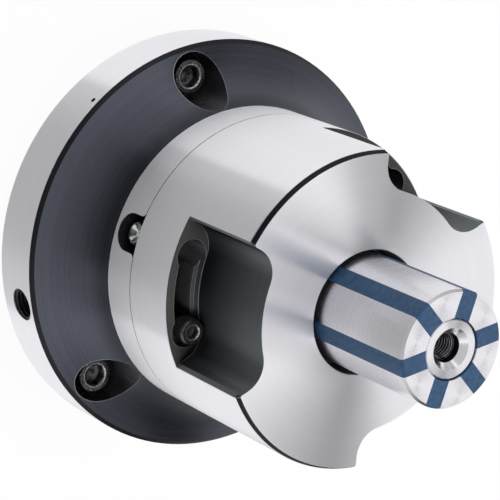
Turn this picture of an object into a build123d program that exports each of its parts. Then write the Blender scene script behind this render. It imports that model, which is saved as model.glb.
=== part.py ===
from build123d import *
import os
from math import atan2, cos, degrees, hypot, radians, sin, sqrt, tan

# Expanding mandrel for turning: an adapter flange that stays on the spindle, and a quick-change
# mandrel body that locks on it with three keyhole slots. A draw bolt pulls six steel segments,
# joined by rubber webs, down a fixed taper core, and so they open inside the workpiece's bore.
# The axis is Z, the spindle face is Z = 0 and the nose points to +Z. Sizes are millimetres,
# angles are degrees about +Z. The mandrel is locked and its bush is released.

# Adapter flange
flange_od = 210.0
rim_width = 28.0
rim_chamfer = 2.0
back_edge = 0.4
body_d = 153.0
hub_start_z = 55.0
joint_z = 75.0
cove_radius = 46.0
register_wall = 35.0
register_depth = 6.0
drive_hole_d = 24.0
drive_hole_depth = 8.0
drive_hole_inset = 19.3
drive_hole_angle = -143.1
edge_break = 0.35

# Flange screws and their counterbores, set in from the rim
flange_screw_count = 3
flange_screw_inset = 15.6
flange_screw_angle = 36.9
flange_screw_d = 12.0
flange_screw_head_d = 18.0
flange_screw_head_h = 12.0
flange_screw_key = 10.0
flange_screw_length = 35.0
flange_screw_play = 1.25
counterbore_play = 3.75
counterbore_depth = 10.7

# Holes in the rim
lifting_angle = 127.2
lifting_above_middle = 3.6
lifting_thread_d = 16.0
lifting_edge = 0.6
pin_hole_angle = 66.7
pin_hole_below_front = 4.2
pin_hole_d = 2.6
pin_hole_depth = 8.0

# Key screw that keeps the draw coupling from turning
key_seat_wall = 13.0
key_screw_d = 12.0
key_screw_length = 18.0
key_dog_d = 8.0
key_dog_play = 0.15
key_dog_gap = 0.4
key_hex = 6.0
key_slot_depth = 3.7

# Grease nipple in its notch
notch_angle = 97.3
notch_d = 18.6
notch_flare = 3.0
notch_above_nipple = 2.1
nipple_hex = 11.0
nipple_height = 5.5
nipple_inset = 4.9
nipple_thread_d = 10.0
nipple_thread_length = 8.0
nipple_funnel_d = 8.6
nipple_funnel_depth = 2.4
nipple_ball_d = 2.4
grease_hole_d = 3.0

# Mandrel body and its joint with the flange
body_length = 85.5
front_chamfer = 1.5
front_chamfer_length = 3.2
bore_play = 2.5
bore_edge = 0.3
spigot_wall = 5.0
spigot_height = 8.5
spigot_room = 0.5
fit_clearance = 0.03

# Pockets that give a wrench its way to the body screws
pocket_count = 3
pocket_angle = 112.0
pocket_side_angle = 11.83
pocket_depth = 18.1
pocket_corner_r = 13.8
pocket_back = 32.3
pocket_edge = 1.0
pocket_edge_depth = 2.4

# Keyhole slots and body screws
keyhole_turn = 31.7
keyhole_offset = 0.75
keyhole_play = 1.55
keyhole_floor_gap = 0.2
body_screw_d = 8.0
body_screw_head_d = 12.7
body_screw_head_h = 8.0
body_screw_key = 6.0
body_screw_length = 45.0
body_screw_floor_gap = 0.55
head_slot_play = 0.3
head_slot_depth = 3.7
shank_slot_play = 0.5
tapped_run_out = 3.0

# Taper core
core_flange_edge = 8.0
core_flange_thickness = 15.0
core_shank_wall = 1.5
bush_room_depth = 29.5
core_tip_back = 17.0
taper = 1 / 8
core_screw_count = 6
core_screw_wall = 4.1
core_screw_d = 6.0
core_screw_head_d = 10.0
core_screw_head_h = 6.0
core_screw_key = 5.0
core_screw_length = 22.0
core_screw_play = 0.6
core_pin_d = 6.0
core_pin_length = 20.0

# Segmented bush
bush_d = 55.0
bush_reach = 63.5
bush_length = 82.0
bush_back_wall = 3.86
bush_chamfer = 1.1
segment_count = 6
web_angle = 6.9
web_width = 8.6
web_gap = 0.05
web_room = 0.15
taper_clearance = 0.12
lip_thickness = 5.1
lip_gap = 0.5
groove_width = 6.3

# Draw bolt
draw_stroke = 5.0
nose_d = 28.0
nose_set_back = 0.6
nose_edge = 0.6
nose_sink_d = 19.6
nose_mouth_d = 13.8
nose_mouth_depth = 4.0
nose_thread_d = 12.0
nose_thread_length = 20.0
collar_rise = 2.4
collar_play = 0.4
collar_side_play = 0.6
bolt_d = 20.0
tail_rise = 2.0
lug_rise = 7.4
lug_height = 9.7
lug_half_angle = 17.0
lug_count = 3
guide_pin_d = 6.0
guide_slot_depth = 2.4
slot_side_play = 0.1

# Draw coupling in the flange
coupling_back_z = 8.0
coupling_wall = 6.5
mouth_length = 13.0
tube_thread_d = 36.0
tube_thread_length = 32.0
tube_sink = 0.8
throat_d = 24.0
throat_length = 8.0
undercut_room = 8.0
undercut_play = 1.1
lug_radial_play = 0.4
lug_axial_play = 0.3
lug_side_play = 2.5

# Guide bush, wiper, retaining ring and seals
guide_bush_wall = 5.0
guide_bush_length = 34.0
guide_bush_past_key = 6.4
grease_room = 4.6
wiper_width = 3.3
wiper_lip = 1.4
wiper_gap = 0.3
ring_groove_rise = 2.0
ring_thickness = 2.5
ring_inset = 3.0
ring_gap_angle = 26.0
seal_cord = 2.5
seal_squeeze = 0.05
body_seal_rise = 4.0
bolt_seal_rise = 8.0

# Values worked out from the sizes above
rim_r = flange_od / 2
body_r = body_d / 2
front_z = joint_z + body_length
cove_z = rim_width + rim_chamfer
cove_r = rim_r - rim_chamfer
register_r = rim_r - register_wall
flange_screw_r = rim_r - flange_screw_inset
counterbore_z = rim_width - counterbore_depth
counterbore_r = flange_screw_head_d / 2 + counterbore_play
lifting_z = rim_width / 2 + lifting_above_middle
pin_hole_z = rim_width - pin_hole_below_front
pocket_z = joint_z + pocket_back
floor_r = body_r - pocket_depth
pocket_half_angle = keyhole_turn / 2 + pocket_side_angle
keyhole_lock_angle = pocket_angle + keyhole_turn / 2 + keyhole_offset
keyhole_hole_r = body_screw_head_d / 2 + keyhole_play
keyhole_pitch_r = floor_r + keyhole_hole_r + keyhole_floor_gap
body_screw_r = floor_r + body_screw_head_d / 2 + body_screw_floor_gap
bush_r = bush_d / 2
bush_front_z = front_z + bush_reach
bush_back_z = bush_front_z - bush_length
bush_room_z = front_z - bush_room_depth
core_back_z = joint_z + spigot_height + spigot_room
core_seat_z = core_back_z + core_flange_thickness
core_shank_r = bush_r - core_shank_wall
core_screw_r = core_shank_r + core_screw_d / 2 + core_screw_wall
core_flange_r = core_screw_r + core_flange_edge
spigot_r = core_flange_r + spigot_wall
core_tip_z = bush_front_z - core_tip_back
bolt_seal_z = core_back_z + bolt_seal_rise
guide_pin_z = (core_seat_z + bush_room_z) / 2
nose_z = bush_front_z - nose_set_back
lip_z = bush_front_z - lip_thickness
groove_z = lip_z - groove_width
bolt_r = bolt_d / 2
collar_r = nose_d / 2 + collar_rise
groove_r = collar_r + collar_side_play
tail_r = bolt_r + tail_rise
lug_r = tail_r + lug_rise
undercut_r = lug_r + undercut_play
undercut_z = coupling_back_z + tube_thread_length + throat_length
tail_end_z = undercut_z + undercut_room
mouth_z = tail_end_z + lug_height + lug_axial_play
coupling_front_z = mouth_z + mouth_length
coupling_r = undercut_r + coupling_wall
guide_bush_r = coupling_r + guide_bush_wall
guide_bush_back_z = lifting_z + key_dog_d / 2 + guide_bush_past_key
guide_bush_front_z = guide_bush_back_z + guide_bush_length
wiper_z = guide_bush_front_z + grease_room
nipple_z = guide_bush_front_z + grease_room / 2
nipple_rim_r = body_r - nipple_inset
nipple_floor_r = nipple_rim_r - nipple_height
notch_z = nipple_z + notch_above_nipple
key_seat_r = guide_bush_r + key_seat_wall
ring_groove_r = guide_bush_r + ring_groove_rise
ring_inner_r = guide_bush_r - ring_inset
body_seal_z = joint_z + body_seal_rise
seal_half_groove = seal_cord * 0.6
segment_lift = draw_stroke * taper
slot_pitch = 360 / segment_count


def core_radius(z):
    """The fixed cone under the segments, set by the bush's wall at its back end."""
    return bush_r - bush_back_wall - taper_clearance + (bush_back_z - z) * taper


def place(radius, angle, z=0.0):
    return Pos(radius * cos(radians(angle)), radius * sin(radians(angle)), z)


def outward(radius, angle, z):
    """A place on a radius whose own +Z points away from the axis and whose +X points to -Z."""
    return place(radius, angle, z) * Rot(0, 0, angle) * Rot(0, 90, 0)


def rod(radius, low, high):
    return Pos(0, 0, low) * Cylinder(radius, high - low, align=(Align.CENTER, Align.CENTER, Align.MIN))


def cone(low_radius, high_radius, height):
    return Cone(low_radius, high_radius, height, align=(Align.CENTER, Align.CENTER, Align.MIN))


def tube(outer, inner, low, high):
    return rod(outer, low, high) - rod(inner, low - 1, high + 1)


def turned(points):
    """A turned solid from the corners of its half section, as (radius, z) pairs."""
    section = make_face(Polyline([(r, 0, z) for r, z in points], close=True))
    return revolve(section, Axis.Z)


def sector(outer, inner, low, high, middle, half_angle):
    """A stretch of a ring about the axis."""
    start = JernArc((outer, 0), (0, 1), outer, 2 * half_angle)
    face = make_face([start, Line(start @ 1, (0, 0)), Line((0, 0), start @ 0)])
    wedge = extrude(Rot(0, 0, middle - half_angle) * Pos(0, 0, low) * face, high - low)
    return wedge - rod(inner, low - 1, high + 1)


def hexagon(across_flats, height):
    return extrude(RegularPolygon(across_flats / 2, 6, major_radius=False), height)


def socket_screw(size, head_d, head_h, key, length):
    """A socket head cap screw, pointing down from the underside of its head at Z = 0."""
    head = chamfer(rod(head_d / 2, 0, head_h).edges().group_by(Axis.Z)[-1], head_h / 12)
    shank = chamfer(rod(size / 2, -length, 0).edges().group_by(Axis.Z)[0], size / 12)
    return head + shank - Pos(0, 0, head_h * 0.45) * hexagon(key, head_h)


def o_ring(middle_radius, cord, z):
    return Pos(0, 0, z) * Torus(middle_radius, cord / 2)


def flange_screw_places():
    step = 360 / flange_screw_count
    return [flange_screw_angle + i * step for i in range(flange_screw_count)]


def pocket_turns():
    return [i * 360 / pocket_count for i in range(pocket_count)]


# Adapter flange: a turned disc with a cove that rises to the hub
def cove_profile():
    """The flange's half section, with the cove as one arc between the rim and the hub."""
    start = (cove_r, 0, cove_z)
    end = (body_r, 0, hub_start_z)
    run = hypot(cove_r - body_r, hub_start_z - cove_z)
    rise = sqrt(cove_radius**2 - (run / 2) ** 2)
    sink = cove_radius - rise
    across = ((hub_start_z - cove_z) / run, (cove_r - body_r) / run)
    middle = (
        (cove_r + body_r) / 2 - across[0] * sink,
        0,
        (cove_z + hub_start_z) / 2 - across[1] * sink,
    )
    male_r = spigot_r - fit_clearance
    lip_r = coupling_r + lip_gap
    lip_back = wiper_z + wiper_width
    outside = Polyline(
        [
            (body_r, 0, hub_start_z),
            (body_r, 0, joint_z - edge_break),
            (body_r - edge_break, 0, joint_z),
            (male_r, 0, joint_z),
            (male_r, 0, joint_z + spigot_height - 2 * edge_break),
            (male_r - 2 * edge_break, 0, joint_z + spigot_height),
            (lip_r, 0, joint_z + spigot_height),
            (lip_r, 0, lip_back),
            (guide_bush_r, 0, lip_back),
            (guide_bush_r, 0, register_depth),
            (register_r, 0, register_depth),
            (register_r, 0, 0),
            (rim_r - back_edge, 0, 0),
            (rim_r, 0, back_edge),
            (rim_r, 0, rim_width),
            start,
        ]
    )
    return make_face([ThreePointArc(start, middle, end), outside])


def nipple_notch():
    """A rounded notch in the hub, open to the joint, with flared corners."""
    half = notch_d / 2
    wide = half + notch_flare
    top = joint_z - notch_z
    shape = Circle(half) + Pos(0, top) * Rectangle(notch_d, 2 * top)
    flare = Pos(0, top) * Rectangle(2 * wide, 2 * notch_flare)
    for side in (-1, 1):
        flare -= Pos(side * wide, top - notch_flare) * Circle(notch_flare)
    cutter = extrude(shape + flare, body_r - nipple_floor_r + 2)
    turn = radians(notch_angle)
    base = Plane(
        origin=(nipple_floor_r * cos(turn), nipple_floor_r * sin(turn), notch_z),
        x_dir=(-sin(turn), cos(turn), 0),
        z_dir=(cos(turn), sin(turn), 0),
    )
    return base * cutter


def adapter_flange():
    flange = revolve(cove_profile(), Axis.Z)
    for angle in flange_screw_places():
        spot = place(flange_screw_r, angle)
        flange -= spot * rod(counterbore_r, counterbore_z, joint_z)
        flange -= spot * rod(flange_screw_d / 2 + flange_screw_play, -1, joint_z)
    drive_spot = place(rim_r - drive_hole_inset, drive_hole_angle)
    flange -= drive_spot * rod(drive_hole_d / 2, -1, drive_hole_depth)
    for turn in pocket_turns():
        bottom = pocket_z - head_slot_depth - body_screw_length - tapped_run_out
        spot = place(body_screw_r, keyhole_lock_angle + turn)
        flange -= spot * rod(body_screw_d / 2 + fit_clearance, bottom, joint_z + 1)
    flange -= nipple_notch()
    thread_end = nipple_floor_r - nipple_thread_length - 1
    thread_r = nipple_thread_d / 2 + fit_clearance
    flange -= outward(thread_end, notch_angle, nipple_z) * rod(thread_r, 0, nipple_floor_r)
    channel = outward(guide_bush_r - 1, notch_angle, nipple_z)
    flange -= channel * rod(grease_hole_d / 2, 0, thread_end - guide_bush_r + 2)
    flange -= lifting_hole()
    pin_hole = outward(rim_r - pin_hole_depth, pin_hole_angle, pin_hole_z)
    flange -= pin_hole * rod(pin_hole_d / 2, 0, pin_hole_depth + 1)
    ring_front = guide_bush_back_z - fit_clearance
    ring_back = ring_front - ring_thickness - 0.2
    flange -= tube(ring_groove_r, guide_bush_r - 1, ring_back, ring_front)
    seal_seat = spigot_r - seal_cord - seal_squeeze
    seal_back = body_seal_z - seal_half_groove
    flange -= tube(spigot_r + 1, seal_seat, seal_back, body_seal_z + seal_half_groove)
    return flange


def lifting_hole():
    """One radial hole: the lifting thread, then the key screw's thread, then room for its dog."""
    thread_start = key_seat_r + key_screw_length
    mouth_r = lifting_thread_d / 2
    hole = rod(mouth_r, thread_start, rim_r + 1)
    countersink = cone(mouth_r, mouth_r + 2 * lifting_edge, 2 * lifting_edge)
    hole = hole + Pos(0, 0, rim_r - lifting_edge) * countersink
    hole = hole + rod(key_screw_d / 2 + fit_clearance, key_seat_r, thread_start + 1)
    hole = hole + rod(key_dog_d / 2 + fit_clearance, guide_bush_r - 2, key_seat_r + 1)
    return outward(0, lifting_angle, lifting_z) * hole


def flange_screw(angle):
    screw = socket_screw(
        flange_screw_d, flange_screw_head_d, flange_screw_head_h, flange_screw_key, flange_screw_length
    )
    return place(flange_screw_r, angle, counterbore_z) * Rot(0, 0, angle) * screw


def body_screw(turn):
    screw = socket_screw(
        body_screw_d, body_screw_head_d, body_screw_head_h, body_screw_key, body_screw_length
    )
    angle = keyhole_lock_angle + turn
    return place(body_screw_r, angle, pocket_z - head_slot_depth) * Rot(0, 0, angle) * screw


def grease_nipple():
    """A hexagonal funnel nipple, screwed into the notch's floor and pointing outward."""
    crown = Rot(0, 0, 30) * hexagon(nipple_hex, nipple_height)
    corner_r = nipple_hex / 2 / cos(radians(30))
    flat_r = nipple_hex / 2 * 0.93
    slope = corner_r - flat_r
    slope_start = Pos(0, 0, nipple_height - slope)
    crown &= rod(corner_r, 0, nipple_height - slope) + slope_start * cone(corner_r, flat_r, slope)
    funnel = cone(nipple_ball_d / 2, nipple_funnel_d / 2, nipple_funnel_depth)
    crown -= Pos(0, 0, nipple_height - nipple_funnel_depth) * funnel
    ball = Pos(0, 0, nipple_height - nipple_funnel_depth) * Sphere(nipple_ball_d / 2)
    nipple = crown + ball + rod(nipple_thread_d / 2, -nipple_thread_length, 0)
    nipple -= Pos(0, 0, -nipple_thread_length) * rod(grease_hole_d / 2, 0, nipple_thread_length / 2)
    return outward(nipple_floor_r, notch_angle, nipple_z) * nipple


def coupling_key():
    """A set screw at the bottom of the rim's threaded hole, with a dog in the coupling's slot."""
    outer_end = key_seat_r + key_screw_length
    dog_tip = coupling_r - key_slot_depth + key_dog_gap
    screw = rod(key_screw_d / 2, key_seat_r, outer_end) + rod(key_dog_d / 2, dog_tip, key_seat_r)
    screw -= Pos(0, 0, outer_end - key_hex) * hexagon(key_hex, key_hex + 1)
    return outward(0, lifting_angle, lifting_z) * screw


def guide_bush():
    inner = coupling_r + fit_clearance
    return tube(guide_bush_r - fit_clearance, inner, guide_bush_back_z, guide_bush_front_z)


def wiper_ring():
    """A scraper ring whose thin lip leans on the coupling."""
    outer = guide_bush_r - fit_clearance
    inner = coupling_r + wiper_gap
    top = wiper_z + wiper_width - fit_clearance
    return turned([(outer, wiper_z), (outer, top), (inner, top), (inner + wiper_lip, wiper_z)])


def retaining_ring():
    """A snap ring in its groove behind the guide bush, open at the bottom."""
    high = guide_bush_back_z - fit_clearance - 0.1
    low = high - ring_thickness
    outer = ring_groove_r - 0.2
    ring = tube(outer, ring_inner_r, low, high)
    ring -= sector(outer + 1, 1, low - 1, high + 1, -90, ring_gap_angle / 2)
    for side in (-1, 1):
        pliers_hole = place(ring_inner_r + 2, -90 + side * (ring_gap_angle / 2 + 4))
        ring -= pliers_hole * rod(1, low - 1, high + 1)
    return ring


def body_seal():
    cord = seal_cord - seal_squeeze
    return o_ring(spigot_r - seal_squeeze - cord / 2, cord, body_seal_z)


# Mandrel body: turned, with three milled pockets and a keyhole slot in each
def pocket_cutter(height):
    """The pocket's plan: radial side walls, rounded corners and a floor round the axis."""
    reach = body_r * 1.3
    spread = reach * tan(radians(pocket_half_angle))
    plan = make_face(Polyline([(0, 0), (reach, spread), (reach, -spread)], close=True))
    plan -= Circle(floor_r)
    corners = plan.vertices().filter_by(lambda v: hypot(v.X, v.Y) < floor_r + 0.5)
    plan = fillet(corners, pocket_corner_r)
    return Rot(0, 0, pocket_angle) * extrude(plan, height)


def pocket_edge_cutter(height):
    """Breaks the long edge where a pocket's side wall meets the outside."""
    cutters = []
    for side in (-1, 1):
        wall_r = body_r - pocket_edge_depth
        a = (wall_r * cos(radians(pocket_half_angle)), side * wall_r * sin(radians(pocket_half_angle)))
        past = pocket_half_angle + degrees(pocket_edge / body_r)
        b = (body_r * cos(radians(past)), side * body_r * sin(radians(past)))
        along = ((b[0] - a[0]), (b[1] - a[1]))
        c = (b[0] + along[0] * 0.5, b[1] + along[1] * 0.5)
        inward = pocket_half_angle * 0.7
        d = (body_r * 1.05 * cos(radians(inward)), side * body_r * 1.05 * sin(radians(inward)))
        start = (a[0] - along[0] * 0.02, a[1] - along[1] * 0.02)
        cutters.append(extrude(make_face(Polyline([start, c, d], close=True)), height))
    return Rot(0, 0, pocket_angle) * (cutters[0] + cutters[1])


def arc_slot(pitch_radius, start, end, width, low, high):
    """A slot with round ends that runs along a circle about the axis."""
    middle = (start + end) / 2
    reach = width / 2
    slot = sector(pitch_radius + reach, pitch_radius - reach, low, high, middle, abs(end - start) / 2)
    for angle in (start, end):
        slot = slot + place(pitch_radius, angle) * rod(reach, low, high)
    return slot


def keyhole_cutter():
    """The wide hole passes a screw's head, the step holds it and the slot passes its shank."""
    lock = keyhole_lock_angle
    free = keyhole_lock_angle - keyhole_turn
    step_z = pocket_z - head_slot_depth
    above = pocket_z + 0.001
    head_width = body_screw_head_d + 2 * head_slot_play
    shank_width = body_screw_d + 2 * shank_slot_play
    cutter = arc_slot(body_screw_r, free, lock, shank_width, joint_z - 1, step_z + 0.001)
    cutter = cutter + arc_slot(body_screw_r, free, lock, head_width, step_z, above)
    cutter = cutter + place(keyhole_pitch_r, free) * rod(keyhole_hole_r, joint_z - 1, above)
    cutter = cutter + place(keyhole_pitch_r, lock) * rod(keyhole_hole_r, step_z, above)
    return cutter


def mandrel_body():
    bore_r = bush_r + bore_play
    shank_r = core_shank_r + fit_clearance
    body = turned(
        [
            (shank_r, core_seat_z),
            (core_flange_r, core_seat_z),
            (core_flange_r, core_back_z),
            (spigot_r, core_back_z),
            (spigot_r, joint_z + edge_break),
            (spigot_r + edge_break, joint_z),
            (body_r - edge_break, joint_z),
            (body_r, joint_z + edge_break),
            (body_r, front_z - front_chamfer_length),
            (body_r - front_chamfer, front_z),
            (bore_r + bore_edge, front_z),
            (bore_r, front_z - bore_edge),
            (bore_r, bush_room_z),
            (shank_r, bush_room_z),
        ]
    )
    depth = front_z - pocket_z
    for turn in pocket_turns():
        body -= Pos(0, 0, pocket_z) * Rot(0, 0, turn) * pocket_cutter(depth + 1)
        body -= Pos(0, 0, pocket_z) * Rot(0, 0, turn) * pocket_edge_cutter(depth + 1)
        body -= Rot(0, 0, turn) * keyhole_cutter()
    for angle in core_screw_angles():
        deep = core_back_z + core_screw_head_h + core_screw_length + tapped_run_out
        spot = place(core_screw_r, angle)
        body -= spot * rod(core_screw_d / 2 + fit_clearance, core_back_z, deep)
    body -= core_pin_place() * rod(core_pin_d / 2 + fit_clearance, core_back_z, core_pin_top() + 1)
    return body


def core_screw_angles():
    return [i * 360 / core_screw_count for i in range(core_screw_count)]


def core_pin_place():
    return place(core_screw_r, 180 / core_screw_count)


def core_pin_top():
    return core_seat_z + core_pin_length / 2


# Taper core: bolted into the body from behind
def taper_core():
    bore_r = bolt_r + fit_clearance
    flange_r = core_flange_r - fit_clearance
    core = turned(
        [
            (bore_r, core_back_z),
            (flange_r - edge_break, core_back_z),
            (flange_r, core_back_z + edge_break),
            (flange_r, core_seat_z),
            (core_shank_r, core_seat_z),
            (core_shank_r, bush_room_z),
            (core_radius(bush_room_z), bush_room_z),
            (core_radius(core_tip_z - 1), core_tip_z - 1),
            (core_radius(core_tip_z) - 1, core_tip_z),
            (bore_r + 1, core_tip_z),
            (bore_r, core_tip_z - 1),
        ]
    )
    for angle in core_screw_angles():
        spot = place(core_screw_r, angle)
        core -= spot * rod(core_screw_d / 2 + fit_clearance, core_back_z - 1, core_seat_z + 1)
        head_room = core_back_z + core_screw_head_h
        core -= spot * rod(core_screw_head_d / 2 + core_screw_play, core_back_z - 1, head_room)
    pin_low = core_pin_top() - core_pin_length
    core -= core_pin_place() * rod(core_pin_d / 2 + fit_clearance, pin_low, front_z)
    guide_hole = rod(guide_pin_d / 2 + fit_clearance, bolt_r / 2, 2 * core_shank_r)
    core -= outward(0, guide_angle(), guide_pin_z) * guide_hole
    seal_r = bolt_r + seal_cord + seal_squeeze
    core -= tube(seal_r, bolt_r / 2, bolt_seal_z - seal_half_groove, bolt_seal_z + seal_half_groove)
    return core


def guide_angle():
    return 180 / core_screw_count


def core_screws():
    """The six screws that hold the core, their heads to the back."""
    screw = socket_screw(
        core_screw_d, core_screw_head_d, core_screw_head_h, core_screw_key, core_screw_length
    )
    seat = core_back_z + core_screw_head_h
    turned_over = Rot(180, 0, 0) * screw
    return Compound([place(core_screw_r, angle, seat) * turned_over for angle in core_screw_angles()])


def core_pin():
    pin = chamfer(rod(core_pin_d / 2, core_pin_top() - core_pin_length, core_pin_top()).edges(), 0.5)
    return core_pin_place() * pin


def guide_pin():
    """A dowel across the core that keeps the draw bolt in line."""
    inner = bolt_r - guide_slot_depth + 0.4
    outer = core_shank_r - 0.2
    return outward(0, guide_angle(), guide_pin_z) * rod(guide_pin_d / 2, inner, outer)


def bolt_seal():
    cord = seal_cord - seal_squeeze
    return o_ring(bolt_r + fit_clearance + cord / 2 + seal_squeeze / 2, cord, bolt_seal_z)


# Segmented bush: a taper-bored ring, cut by six straight slots that the rubber fills
def bush_ring(clearance):
    """The whole ring before it is slotted, with a groove inside for the draw bolt's collar."""
    front = bush_front_z
    lip_r = nose_d / 2 + lip_gap
    back_inner = core_radius(bush_back_z) + clearance
    front_inner = core_radius(groove_z) + clearance
    return turned(
        [
            (back_inner, bush_back_z),
            (bush_r - bush_chamfer, bush_back_z),
            (bush_r, bush_back_z + bush_chamfer),
            (bush_r, front - bush_chamfer),
            (bush_r - bush_chamfer, front),
            (lip_r, front),
            (lip_r, lip_z),
            (groove_r, lip_z),
            (groove_r, groove_z),
            (front_inner, groove_z),
        ]
    )


def web_slab(angle, width):
    """A flat slab of even width that runs outward from the axis."""
    low = bush_back_z - 1
    slab = Pos(0, 0, low) * Box(
        bush_d, width, bush_length + 2, align=(Align.MIN, Align.CENTER, Align.MIN)
    )
    return Rot(0, 0, angle) * slab


def segments():
    ring = bush_ring(taper_clearance)
    for i in range(segment_count):
        ring -= web_slab(web_angle + i * slot_pitch, web_width + 2 * web_gap)
    first = web_angle + slot_pitch / 2
    pieces = ring.solids()

    def place_in_turn(piece):
        middle = piece.center()
        return (degrees(atan2(middle.Y, middle.X)) - first + 1) % 360

    return sorted(pieces, key=place_in_turn)


def webs():
    """Each web fills a slot and keeps clear of the core, which grows under it as it is drawn back."""
    ring = bush_ring(taper_clearance + segment_lift + web_room)
    return [ring & web_slab(web_angle + i * slot_pitch, web_width) for i in range(segment_count)]


# Draw bolt: nose, collar, guided shank and a three-lug tail
def draw_bolt():
    collar_back = groove_z + collar_play
    collar_front = lip_z - collar_play
    nose_r = nose_d / 2
    thread_r = nose_thread_d / 2
    sink_r = nose_sink_d / 2
    mouth_r = nose_mouth_d / 2
    sink_z = nose_z - (sink_r - mouth_r)
    thread_top = sink_z - nose_mouth_depth
    thread_end = thread_top - nose_thread_length
    tail_front = core_back_z - 1
    bolt = turned(
        [
            (0, tail_end_z),
            (tail_r - 1, tail_end_z),
            (tail_r, tail_end_z + 1),
            (tail_r, tail_front),
            (bolt_r, tail_front),
            (bolt_r, collar_back),
            (collar_r - edge_break, collar_back),
            (collar_r, collar_back + edge_break),
            (collar_r, collar_front),
            (nose_r, collar_front),
            (nose_r, nose_z - nose_edge),
            (nose_r - nose_edge, nose_z),
            (sink_r, nose_z),
            (mouth_r, sink_z),
            (mouth_r, thread_top),
            (thread_r, thread_top),
            (thread_r, thread_end),
            (0, thread_end - thread_r / 2),
        ]
    )
    for i in range(lug_count):
        middle = i * 360 / lug_count
        lug = sector(lug_r, tail_r / 2, tail_end_z, tail_end_z + lug_height, middle, lug_half_angle)
        bolt = bolt + lug
    half_slot = guide_pin_d / 2 + slot_side_play
    low = guide_pin_z - half_slot
    high = guide_pin_z + half_slot + draw_stroke
    flat = Box(bolt_r, 2 * half_slot, high - low, align=(Align.MIN, Align.CENTER, Align.MIN))
    return bolt - Rot(0, 0, guide_angle()) * Pos(bolt_r - guide_slot_depth, 0, low) * flat


# Draw coupling: the machine's draw tube screws in behind, the bolt's tail locks in front
def draw_coupling():
    thread_r = tube_thread_d / 2
    thread_end = coupling_back_z + tube_thread_length
    mouth_r = tail_r + lip_gap
    coupling = turned(
        [
            (thread_r + tube_sink, coupling_back_z),
            (coupling_r - 1, coupling_back_z),
            (coupling_r, coupling_back_z + 1),
            (coupling_r, coupling_front_z - 1),
            (coupling_r - 1, coupling_front_z),
            (mouth_r, coupling_front_z),
            (mouth_r, mouth_z),
            (undercut_r, mouth_z),
            (undercut_r, undercut_z),
            (throat_d / 2, undercut_z),
            (throat_d / 2, thread_end),
            (thread_r, thread_end),
            (thread_r, coupling_back_z + tube_sink),
        ]
    )
    for i in range(lug_count):
        middle = i * 360 / lug_count + keyhole_turn
        half = lug_half_angle + lug_side_play
        reach = lug_r + lug_radial_play
        coupling -= sector(reach, tail_r / 2, mouth_z - 1, coupling_front_z + 1, middle, half)
    half_slot = key_dog_d / 2 + key_dog_play
    low = lifting_z - half_slot
    high = lifting_z + half_slot + draw_stroke
    slot = Box(coupling_r, 2 * half_slot, high - low, align=(Align.MIN, Align.CENTER, Align.MIN))
    return coupling - Rot(0, 0, lifting_angle) * Pos(coupling_r - key_slot_depth, 0, low) * slot


def all_parts():
    parts = {"adapter_flange": adapter_flange()}
    for number, angle in enumerate(flange_screw_places(), 1):
        parts[f"flange_screw_{number}"] = flange_screw(angle)
    for number, turn in enumerate(pocket_turns(), 1):
        parts[f"body_screw_{number}"] = body_screw(turn)
    parts["grease_nipple"] = grease_nipple()
    parts["coupling_key"] = coupling_key()
    parts["guide_bush"] = guide_bush()
    parts["wiper_ring"] = wiper_ring()
    parts["retaining_ring"] = retaining_ring()
    parts["body_seal"] = body_seal()
    parts["mandrel_body"] = mandrel_body()
    parts["taper_core"] = taper_core()
    parts["core_screws"] = core_screws()
    parts["core_pin"] = core_pin()
    parts["guide_pin"] = guide_pin()
    parts["bolt_seal"] = bolt_seal()
    for number, piece in enumerate(segments(), 1):
        parts[f"segment_{number}"] = piece
    for number, piece in enumerate(webs(), 1):
        parts[f"rubber_web_{number}"] = piece
    parts["draw_bolt"] = draw_bolt()
    parts["draw_coupling"] = draw_coupling()
    return parts


os.makedirs("parts", exist_ok=True)
for name, shape in all_parts().items():
    shape.label = name
    export_step(shape, f"parts/{name}.step")
    print(name, len(shape.solids()), round(shape.volume / 1000, 2), "cm3")
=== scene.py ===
# %% [markdown]
# An expanding mandrel, dressed for its portrait.
# The turned and ground solids come from the frame at their real size. This file gives them their
# finishes, adds the small things that a solid model leaves out, such as knurls and threads, and sets
# the studio round them.

# %% Load the frame
import bpy
from math import atan2, cos, hypot, pi, radians, sin
from mathutils import Matrix, Vector


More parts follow.
